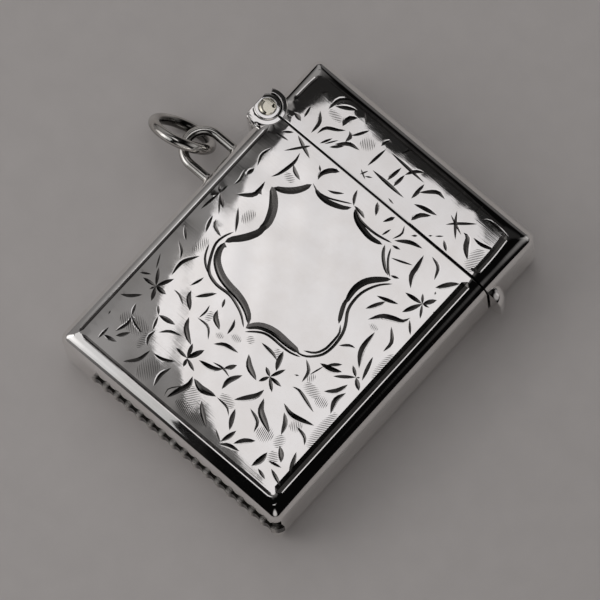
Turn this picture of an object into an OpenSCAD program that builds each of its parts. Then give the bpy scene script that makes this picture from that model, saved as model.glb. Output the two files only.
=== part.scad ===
// Silver vesta case: a pocket box for friction matches, lying on its back.
// X runs from the hinge side to the thumbpiece side, Y from the striker end to the lid end,
// Z from the back face to the engraved front face. The origin is the middle of the back face.

/* [Case] */
// Width, from the hinge side to the thumbpiece side
case_w = 34.4; // [30:0.2:40]
// Length, from the striker end to the top of the lid
case_l = 46; // [42:0.5:54]
// Thickness, from the back face to the front face
case_t = 10; // [9:0.5:12]
// Radius of the rounded shoulders along the front and back faces
shoulder_r = 2.3; // [1.8:0.1:2.8]
// Radius of the four corners, seen from the front
corner_r = 1.2; // [0.9:0.1:1.7]
// Thickness of the silver sheet
wall = 0.6; // [0.4:0.05:0.7]

/* [Lid] */
// Height of the lid, from its rim to the top of the case
lid_h = 8.9; // [7:0.1:11]
// Gap between the lid's rim and the body's mouth
lid_gap = 0.2; // [0.12:0.02:0.3]
// How far the bezel reaches down into the body
bezel_in = 4; // [3:0.5:6]
// How far the bezel stands out of the mouth
bezel_out = 1.4; // [0.8:0.1:2]
// Thickness of the bezel's sheet
bezel_wall = 0.4; // [0.3:0.05:0.5]
// Clearance between the bezel and the lid that closes over it
bezel_clear = 0.2; // [0.12:0.02:0.3]

/* [Hinge] */
// How far the pin's axis lies outside the side wall
hinge_out = 0.1; // [0:0.05:0.3]
// Radius of the hinge's barrel
barrel_r = 1.6; // [1.4:0.05:1.8]
// Distance from the pin's axis to the flat on the outside of the body's knuckles
barrel_flat = 1.3; // [1.2:0.05:1.4]
// Radius of the hinge pin
pin_r = 1; // [0.7:0.05:1.1]
// Thickness of the half-round bearers that hold the knuckles
bearer_wall = 0.7; // [0.5:0.05:0.9]
// Length of the lid's knuckle, in the middle of the barrel
lid_knuckle_l = 3.2; // [2:0.1:4]
// Depth of the hinge's ends below the front and back faces
hinge_inset = 0.4; // [0.2:0.05:0.8]
// How far the lid opens, in degrees
lid_open_angle = 95; // [80:1:100]

/* [Striker] */
// Height of the striker band, measured across the case's thickness
striker_h = 1.6; // [1.2:0.1:3]
// How far the band stands out of the end wall
striker_out = 0.45; // [0.4:0.05:0.7]
// Distance from the hinge side to the start of the band
striker_start = 5.6; // [4:0.2:9]
// Distance from one rib to the next
rib_pitch = 1.77; // [1.2:0.01:2.4]
// Depth of the flutes between the ribs
flute_depth = 0.26; // [0.16:0.02:0.3]
// Width of a rib's crest
rib_crest = 0.34; // [0.2:0.02:0.5]

/* [Thumbpiece] */
// How far the thumbpiece stands out of the lid
thumb_r = 1.9; // [1.4:0.1:2.2]
// Length of the thumbpiece, measured across the case's thickness
thumb_l = 6; // [4.6:0.2:6.6]

/* [Suspension loop] */
// Thickness of the loop's wire
loop_wire = 1.2; // [1:0.05:1.3]
// Radius of the loop's bow at the middle of the wire
loop_r = 2.4; // [2.2:0.1:2.6]
// Distance from the side wall to the middle of the bow
loop_out = 3.4; // [3:0.1:4]
// Distance from the lid's rim down to the middle of the loop
loop_drop = 8; // [7:0.2:10]
// Radius of the flared feet where the loop is soldered to the wall
foot_r = 0.95; // [0.8:0.05:1.1]
// Length of a flared foot
foot_l = 0.9; // [0.6:0.1:1.4]

/* [Jump ring] */
// Thickness of the ring's wire
ring_wire = 1.4; // [1.1:0.05:1.5]
// Radius of the ring at the middle of its wire
ring_r = 3.65; // [3.4:0.05:3.9]
// Tilt of the ring over the loop, in degrees
ring_tilt_angle = 57; // [55:0.5:59]
// Lean of the ring away from the case, in degrees
ring_lean_angle = 18.5; // [16.5:0.5:20.5]

/* [Hidden] */
$fn = 96;
// Cuts run past the faces that they cut by this much
over = 1;
// Gap left for solder between pieces that are soldered together
solder = 0.02;
// Clearance between turning and fixed parts of the hinge, round the barrel
hinge_clear = 0.12;
// Running clearance between the lid's knuckle and the pin
pin_clear = 0.04;
// Press clearance between the body's knuckles and the pin
pin_press = 0.01;
// Gap between one knuckle and the next
knuckle_gap = 0.12;
// Height of the pin's ends above the ends of the barrel
pin_proud = 0.06;
// Angle that the bearers keep between them when the lid is fully open
bearer_spare_angle = 6;
// Direction, seen from the front, where the lid's bearer ends outside the wall
lid_bearer_end_angle = 118;
// Height of the middle of the case's thickness
mid_z = case_t / 2;
// Place of the lid's rim line along the case
rim_y = case_l / 2 - lid_h;
// Place of the hinge pin
hinge_x = -case_w / 2 - hinge_out;
// Outside of the bearers
bearer_r = barrel_r + hinge_clear + bearer_wall;
// Length of the whole barrel
barrel_l = case_t - 2 * hinge_inset;
// Length of each of the body's two knuckles
body_knuckle_l = (barrel_l - lid_knuckle_l) / 2 - knuckle_gap;
// Direction where the body's bearer begins
body_bearer_start_angle = lid_bearer_end_angle + lid_open_angle + bearer_spare_angle;
// Reach of the square toe that the body's bearer has outside the wall, and its corner cut
toe_out = 0.1;
toe = bearer_r + toe_out;
toe_cut = [0.2, 0.5];
// How far the toe reaches into the wall, measured from the pin's axis
toe_seat = hinge_out + wall / 2;
// Radius of the round cutter that makes a flute of the given depth and width
flute_w = rib_pitch - rib_crest;
flute_r = (flute_w * flute_w / 4 + flute_depth * flute_depth) / (2 * flute_depth);
// Place of the loop along the case, and where the ring hangs on it
loop_y = rim_y - loop_drop;
hang_x = -case_w / 2 - loop_out - loop_r;
// Middle of the ring, measured from where it hangs
ring_middle = [-1.13, 0, -1.1];

// A flat rectangle with round corners, in the middle of its plane
module round_rect(w, h, r) {
    square([w - 2 * r, h], center = true);
    square([w, h - 2 * r], center = true);
    for (x = [-1, 1])
        for (y = [-1, 1])
            translate([x * (w / 2 - r), y * (h / 2 - r)])
                circle(r);
}

// A bar along Y with the case's cross-section, drawn in by the given amount
module section_bar(in, y0, y1) {
    translate([0, y1, mid_z])
        rotate([90, 0, 0])
            linear_extrude(y1 - y0)
                round_rect(case_w - 2 * in, case_t - 2 * in, shoulder_r - in);
}

// The pillow-edged form of the case, drawn in by the given amount on every side
module pillow(in) {
    intersection() {
        section_bar(in, -case_l / 2, case_l / 2);
        translate([-case_w / 2, 0, mid_z])
            rotate([90, 0, 90])
                linear_extrude(case_w)
                    round_rect(case_l - 2 * in, case_t - 2 * in, shoulder_r - in);
        linear_extrude(case_t)
            round_rect(case_w - 2 * in, case_l - 2 * in, corner_r - in);
    }
}

// Everything between two places along the case, on one half of its thickness
module slice(y0, y1, upper) {
    translate([-case_w / 2 - over, y0, upper ? mid_z : -over])
        cube([case_w + 2 * over, y1 - y0, mid_z + over]);
}

// Pocket that the body's bearer and its toe fill in the side wall
module body_pocket() {
    circle(bearer_r);
    translate([-barrel_flat, -toe])
        square([barrel_flat + toe_seat, toe]);
}

// A flat shape on the hinge's axis, drawn out along part of the thickness
module on_hinge(z0, z1) {
    translate([hinge_x, rim_y, z0])
        linear_extrude(z1 - z0)
            children();
}

// One half of the body's shell
module body_half(upper) {
    difference() {
        intersection() {
            pillow(0);
            slice(-case_l / 2 - over, rim_y - lid_gap / 2, upper);
        }
        pillow(wall);
        on_hinge(-over, case_t + over)
            body_pocket();
    }
}

// One half of the lid's shell
module lid_half(upper) {
    difference() {
        intersection() {
            pillow(0);
            slice(rim_y + lid_gap / 2, case_l / 2 + over, upper);
        }
        pillow(wall);
        on_hinge(-over, case_t + over)
            circle(bearer_r);
    }
}

// Flat wedge between two directions, round the hinge's axis
module wedge(a0, a1) {
    reach = 2 * bearer_r;
    polygon([[0, 0], for (i = [0 : 4]) reach * [cos(a0 + (a1 - a0) * i / 4), sin(a0 + (a1 - a0) * i / 4)]]);
}

// Square toe of the body's bearer, with its outer corner cut off
module bearer_toe() {
    inner_x = toe_seat - solder;
    low_y = -toe + solder;
    polygon([[-barrel_flat, low_y + toe_cut.y], [-barrel_flat + toe_cut.x, low_y], [inner_x, low_y],
             [inner_x, -barrel_r], [-barrel_flat, -barrel_r]]);
}

// Cross-section of the body's half-round bearer and its toe, round a bore
module body_bearer_section(bore) {
    difference() {
        union() {
            intersection() {
                circle(bearer_r - solder);
                wedge(body_bearer_start_angle, 360);
            }
            bearer_toe();
        }
        circle(bore);
        translate([-toe, -lid_gap / 2])
            square(2 * toe);
        translate([-barrel_flat - toe, -2 * toe])
            square([toe, 2 * toe]);
    }
}

// Cross-section of the lid's half-round bearer, round a bore
module lid_bearer_section(bore) {
    difference() {
        intersection() {
            circle(bearer_r - solder);
            wedge(0, lid_bearer_end_angle);
        }
        circle(bore);
        translate([0, lid_gap / 2 - toe])
            square(toe);
    }
}

// Ends of the lid's knuckle along the thickness
lid_knuckle_z0 = mid_z - lid_knuckle_l / 2;
lid_knuckle_z1 = mid_z + lid_knuckle_l / 2;

// A bearer's bore is close round its own knuckles and clear of the others
module bearer_zones(inner_close) {
    near = barrel_r + solder;
    far = barrel_r + hinge_clear;
    cut = knuckle_gap;
    z0 = lid_knuckle_z0 - (inner_close ? 0 : cut);
    z1 = lid_knuckle_z1 + (inner_close ? 0 : cut);
    on_hinge(hinge_inset, z0)
        if (inner_close) lid_bearer_section(far); else body_bearer_section(near);
    on_hinge(z0, z1)
        if (inner_close) lid_bearer_section(near); else body_bearer_section(far);
    on_hinge(z1, case_t - hinge_inset)
        if (inner_close) lid_bearer_section(far); else body_bearer_section(near);
}

// One knuckle of the body, flattened on the outside
module body_knuckle(z0) {
    on_hinge(z0, z0 + body_knuckle_l)
        difference() {
            intersection() {
                circle(barrel_r);
                translate([-barrel_flat, -barrel_r])
                    square(2 * barrel_r);
            }
            circle(pin_r + pin_press);
        }
}

// Front half of the body, die-struck from sheet
module body_front() {
    color("silver") body_half(true);
}

// Back half of the body
module body_back() {
    color("silver") body_half(false);
}

// Fluted band for striking matches, wrapped a little round the corner of the end
module striker_band() {
    wrap = 0.75 * corner_r;
    ribs = floor((case_w / 2 - corner_r) / rib_pitch);
    color("dimgray")
        translate([0, 0, mid_z - striker_h / 2])
            linear_extrude(striker_h)
                difference() {
                    round_rect(case_w + 2 * striker_out, case_l + 2 * striker_out, corner_r + striker_out);
                    round_rect(case_w + 2 * solder, case_l + 2 * solder, corner_r + solder);
                    translate([-case_w, -case_l / 2 + wrap])
                        square([2 * case_w, 2 * case_l]);
                    translate([-case_w, -case_l])
                        square([case_w / 2 + striker_start, 2 * case_l]);
                    for (i = [-ribs : ribs])
                        translate([i * rib_pitch, -case_l / 2 - striker_out + flute_depth - flute_r])
                            circle(flute_r);
                }
}

// Inner flange of the mouth, open on the hinge side, that the lid closes over
module mouth_bezel() {
    lip_in = wall + bezel_clear;
    foot_y = rim_y - bezel_in;
    mouth_y = rim_y - lid_gap / 2;
    color("gainsboro")
        difference() {
            union() {
                section_bar(wall + solder, foot_y, mouth_y);
                section_bar(lip_in, mouth_y - over, rim_y + bezel_out);
            }
            section_bar(lip_in + bezel_wall, foot_y - over, rim_y + bezel_out + over);
            translate([-case_w, foot_y - over, -over])
                cube([case_w + hinge_x + bearer_r + bezel_clear, case_l, case_t + 2 * over]);
        }
}

// Half-round bearer let into the body's wall
module body_bearer() {
    color("silver") bearer_zones(false);
}

// Knuckle at the front of the barrel
module body_knuckle_front() {
    color("silver") body_knuckle(lid_knuckle_z1 + knuckle_gap);
}

// Knuckle at the back of the barrel
module body_knuckle_back() {
    color("silver") body_knuckle(hinge_inset);
}

// Pin through the three knuckles
module hinge_pin() {
    color("tan")
        on_hinge(hinge_inset - pin_proud, case_t - hinge_inset + pin_proud)
            circle(pin_r);
}

// Bow of wire with flared feet, soldered to the side wall
module suspension_loop() {
    bow_x = -case_w / 2 - loop_out;
    color("silver")
        translate([bow_x, loop_y, mid_z]) {
            rotate([0, 0, 90])
                rotate_extrude(angle = 180)
                    translate([loop_r, 0])
                        circle(d = loop_wire);
            for (side = [-1, 1])
                translate([0, side * loop_r, 0])
                    rotate([0, 90, 0]) {
                        cylinder(d = loop_wire, h = loop_out - solder);
                        translate([0, 0, loop_out - foot_l])
                            cylinder(r1 = loop_wire / 2, r2 = foot_r, h = foot_l - solder);
                    }
        }
}

// Front half of the lid
module lid_front() {
    color("silver") lid_half(true);
}

// Back half of the lid
module lid_back() {
    color("silver") lid_half(false);
}

// Half-round bearer let into the lid's wall
module lid_bearer() {
    color("silver") bearer_zones(true);
}

// Knuckle in the middle of the barrel, which turns on the pin
module lid_knuckle() {
    color("silver")
        on_hinge(lid_knuckle_z0, lid_knuckle_z1)
            difference() {
                circle(barrel_r);
                circle(pin_r + pin_clear);
            }
}

// Rounded lug at the lid's rim, lifted with the thumb
module thumbpiece() {
    straight = thumb_l - 2 * thumb_r;
    color("silver")
        intersection() {
            translate([case_w / 2, rim_y + lid_gap / 2, mid_z]) {
                cylinder(r = thumb_r, h = straight, center = true);
                for (end = [-1, 1])
                    translate([0, 0, end * straight / 2])
                        sphere(thumb_r);
            }
            translate([case_w / 2 + solder, rim_y + lid_gap / 2, 0])
                cube([thumb_r + over, thumb_r + over, case_t]);
        }
}

// Ring for a watch chain, hanging over the loop
module jump_ring() {
    color("silver")
        translate([hang_x, loop_y, mid_z] + ring_middle)
            rotate([-ring_tilt_angle, -ring_lean_angle, 0])
                rotate_extrude()
                    translate([ring_r, 0])
                        circle(d = ring_wire);
}

body_front();
body_back();
striker_band();
mouth_bezel();
body_bearer();
body_knuckle_front();
body_knuckle_back();
hinge_pin();
suspension_loop();
lid_front();
lid_back();
lid_bearer();
lid_knuckle();
thumbpiece();
jump_ring();
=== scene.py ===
from collections import namedtuple
import math

import bpy
import bmesh
import numpy as np
from mathutils import Matrix, Quaternion, Vector
from mathutils.geometry import delaunay_2d_cdt


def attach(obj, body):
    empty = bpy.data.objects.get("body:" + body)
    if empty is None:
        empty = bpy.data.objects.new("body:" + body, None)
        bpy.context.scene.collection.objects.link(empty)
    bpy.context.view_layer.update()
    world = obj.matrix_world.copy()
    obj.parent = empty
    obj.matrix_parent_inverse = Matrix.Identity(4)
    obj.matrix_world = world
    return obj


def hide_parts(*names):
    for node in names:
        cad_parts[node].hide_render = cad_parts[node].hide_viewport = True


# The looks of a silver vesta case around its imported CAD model. Lengths are in millimetres, in the
# CAD frame, until a mesh or a light is made; MM turns them into Blender's metres.
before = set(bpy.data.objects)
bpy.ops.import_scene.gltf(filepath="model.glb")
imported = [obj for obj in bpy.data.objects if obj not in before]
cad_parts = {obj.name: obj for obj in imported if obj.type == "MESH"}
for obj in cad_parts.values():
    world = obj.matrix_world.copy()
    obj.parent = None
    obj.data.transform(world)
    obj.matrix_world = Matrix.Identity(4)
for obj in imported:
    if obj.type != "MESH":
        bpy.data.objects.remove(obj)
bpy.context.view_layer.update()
MM = 0.001

# Sizes of the case, as in the CAD model
CASE_W = 34.4
CASE_L = 46.0
CASE_T = 10.0
SHOULDER_R = 2.3
CORNER_R = 1.2
WALL = 0.6
RIM_Y = 14.1
LID_GAP = 0.2
HINGE_X = -17.3
POCKET_R = 2.42
MID_Z = CASE_T / 2
SHOULDER_Z = CASE_T - SHOULDER_R

# The face falls towards its edges, where it is cushioned: how far from the middle each cushion starts, where
# it has its whole drop, and that drop. Past that place it goes on, up to this share of its run
CUSHION_SIDE = (11.0, 15.6, 0.05)
CUSHION_FOOT = (15.8, 21.4, 0.13)
CUSHION_HEAD = (17.0, 21.4, 0.087)
CUSHION_END = 1.5
# The slight dome of the whole face, the slope of the lid, and the soft waves that hand polishing leaves: the
# height of all of them, and how each turns with x, with y, and where it starts
DOME_DROP = 0.15
LID_FALL = 0.009
WAVE_HEIGHT = 0.014
WAVES = ((0.9, 0.35, 0.4), (-0.5, 0.8, 1.7), (0.3, -1.25, 2.9), (1.3, 0.9, 4.4))
# The rims that meet at the seam are rounded over this width and depth
RIM_ROUND = (0.1, 0.06)

# The lean of the shoulder at which the face begins, and the smallest corner of a line round the case
FACE_ANGLE = math.radians(25)
SOFT_CORNER = 0.35
# Fineness of the shell's mesh, the bend from which its edges are sharp, and how near two places are one
SHOULDER_STEPS = 12
SIDE_STEPS = 14
END_STEPS = 16
CORNER_STEPS = 9
RIM_STEPS = 30
POCKET_STEPS = 6
FACE_GRID = 1.0
SHARP_ANGLE = math.radians(16)
SAME_PLACE = 1e-5

# Kinds of cut: how much wider than in the drawing they are, how steep their sides are, how far the shallow
# facet beside them reaches in widths of the cut, how early they taper towards their ends, whether they leave
# a bright lip, and whether the facet lies towards the middle of the case, where it is painted darker as shade
Style = namedtuple("Style", "widen slope reach taper lip inner", defaults=(1.0, 0.5, 0.0, 0.75, False, False))
BORDER_STYLE = Style(taper=0.0, lip=True)
LINE_STYLE = Style(widen=1.1, taper=0.3)
BAND_STYLE = Style(widen=1.1, slope=0.2, taper=0.35)
SHADED_STYLE = Style(widen=1.1, reach=1.35, taper=0.25, inner=True)
LEAF_STYLE = Style(widen=1.4, reach=0.75)
SHADED_LEAF_STYLE = Style(widen=1.3, reach=1.0, inner=True)
PETAL_STYLE = Style(widen=1.75)
HATCH_STYLE = Style()
# What the sides of a cut can be, besides plain silver, and how deep they are at least
KINDS = ("cut", "facet", "shade")
LEAST_DEPTH = 1e-4
# The width from which a line of the shield is a band, and from which a cut has its facet
BAND_FROM = 0.6
FACET_FROM = 0.28
FACET_SLOPE = 0.07
# A lip's width, and the share of the cut's half width at which it starts
LIP_WIDTH = 0.13
LIP_START = 0.9
# The room that a cut keeps from the edge of its sheet, the length of its pointed ends, the length of its
# steps and how many it has at least
CUT_MARGIN = 0.05
CUT_TAPER = 0.3
CUT_STEP = 0.5
CUT_FEWEST = 4
# Steps between two places that a soft curve is drawn through, and how many places of it are tried on a sheet,
# at least and for each millimetre
CURVE_STEPS = 16
TRIED_FEWEST = 60
TRIED_PER_MM = 8
# The drawing was read off the face in its own millimetres: what the case's x, and then its y, take from the
# drawing's x, from its y, and from neither
DRAWING_X = (0.993, -0.008, 0.09)
DRAWING_Y = (-0.009, 0.987, -0.04)

# Each cut is its widest width and then the places that it runs through, x and y in turn.
# Lines of the border, with square ends, which are placed on the case itself
BORDER = (
    (0.40, -15.45, -20.9, -15.4, -8.1, -15.4, 12.7),
    (0.40, -15.4, 16.6, -15.35, 19.1, -15.2, 20.9),
    (0.40, -15.1, -20.95, 0.0, -21.0, 15.0, -20.95),
    (1.05, 14.9, -20.4, 14.9, -4.2, 14.9, 13.85),
    (0.80, 14.75, 14.15, 14.7, 17.6, 14.45, 20.6),
)

# Bands and fine lines round the bare shield in the middle
SHIELD = (
    (0.85, -7.8, 3.4, -7.7, 2.0, -8.2, 0.8, -8.9, -0.2, -9.6, -1.0, -10.0, -1.8),
    (0.80, -10.1, 7.1, -9.0, 7.6, -8.0, 8.4, -7.3, 9.4, -6.9, 10.4),
    (0.22, -6.9, 10.6, -5.8, 10.2, -4.4, 10.4, -3.1, 11.0, -1.6, 11.8),
    (0.62, -6.3, 10.3, -5.3, 10.0, -4.2, 10.0, -3.1, 10.3, -2.0, 10.8, -1.4, 11.4),
    (0.65, -1.0, 11.5, 0.0, 10.7, 1.3, 10.3, 2.8, 10.1, 4.4, 10.4),
    (0.30, -1.2, 11.8, 0.2, 11.0, 1.8, 10.8, 3.3, 10.9, 5.1, 11.3),
    (0.26, 5.4, 10.8, 6.0, 9.6, 6.9, 8.6, 7.7, 8.0), (0.40, 4.6, 10.6, 5.2, 9.6, 6.3, 8.6, 7.4, 8.0),
    (0.50, 5.6, 2.9, 5.8, 1.9, 6.3, 0.8, 6.9, -0.3),
    (0.78, 8.0, 7.9, 7.2, 7.2, 6.4, 6.4, 5.8, 5.5, 5.5, 4.3, 5.6, 3.1, 5.9, 2.1),
    (0.36, 8.5, 7.6, 7.5, 6.6, 6.8, 5.4, 6.4, 4.1, 6.4, 2.6, 6.7, 1.5, 7.5, 0.3, 8.0, -0.8, 8.2, -2.0,
     8.2, -3.2, 7.9, -4.4, 7.0, -5.5, 6.2, -6.0, 5.2, -6.2),
    (0.30, 7.1, -0.2, 7.7, -1.1, 7.8, -2.4, 7.7, -3.7, 7.1, -4.8, 5.9, -5.5),
    (0.30, -0.9, -8.4, 0.0, -7.6, 1.0, -7.0, 2.1, -6.8, 3.6, -6.8, 4.9, -6.7, 6.2, -6.3),
    (0.36, -10.0, -0.1, -10.5, -1.2, -10.7, -2.5, -10.2, -3.9, -9.4, -5.3, -8.5, -6.0, -7.1, -6.3, -5.3, -6.2,
     -4.0, -6.5, -2.6, -7.1, -1.3, -8.1),
    (0.28, -11.3, -3.1, -10.6, -4.6, -9.6, -5.5, -8.3, -6.0, -6.8, -6.3),
)
# Lines of the shield whose inner side is painted darker as shade
SHADED = (
    (0.55, -10.3, 6.9, -9.5, 6.1, -8.7, 5.1, -8.2, 4.1, -7.9, 3.1, -8.0, 2.0),
    (0.50, -1.1, -8.0, -0.1, -7.0, 1.0, -6.5, 2.2, -6.3, 3.7, -6.3, 5.0, -6.2, 5.7, -6.0),
    (0.50, -10.0, -1.8, -10.0, -2.9, -9.5, -4.0, -8.6, -4.8, -7.4, -5.4, -6.0, -5.7, -4.8, -5.8, -3.4, -6.1,
     -2.1, -6.7, -1.3, -7.4),
)

# Star flowers: a middle, and then the width and the tip of each petal
FLOWERS = (
    ((-12.6, -11.2), ((0.25, -14.5, -11.4), (0.25, -13.9, -9.2), (0.30, -11.55, -9.1), (0.35, -11.0, -11.15),
                      (0.30, -11.8, -12.9), (0.15, -12.95, -12.0))),
    ((-3.9, -15.3), ((0.40, -3.0, -13.2), (0.30, -4.6, -13.5), (0.25, -5.8, -15.2), (0.25, -2.2, -15.95),
                     (0.25, -3.55, -16.4))),
    ((5.0, -10.5), ((0.27, 5.85, -8.6), (0.27, 3.85, -9.9), (0.27, 4.35, -11.8), (0.27, 6.85, -10.5),
                    (0.27, 6.45, -11.75))),
    ((12.75, 8.1), ((0.30, 10.3, 7.8), (0.35, 13.75, 9.6), (0.20, 11.95, 9.1), (0.35, 11.6, 5.75),
                    (0.20, 13.75, 6.55), (0.15, 13.7, 8.3))),
    ((12.75, -3.8), ((0.25, 11.5, -2.95), (0.35, 14.1, -4.8), (0.25, 10.6, -5.5), (0.15, 13.2, -3.5))),
    ((-14.5, 2.4), ((0.25, -15.2, 3.1), (0.30, -12.9, 1.2), (0.15, -14.4, 3.7), (0.20, -15.2, 1.4),
                    (0.20, -14.9, -0.6), (0.15, -12.8, 0.3))),
)

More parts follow.
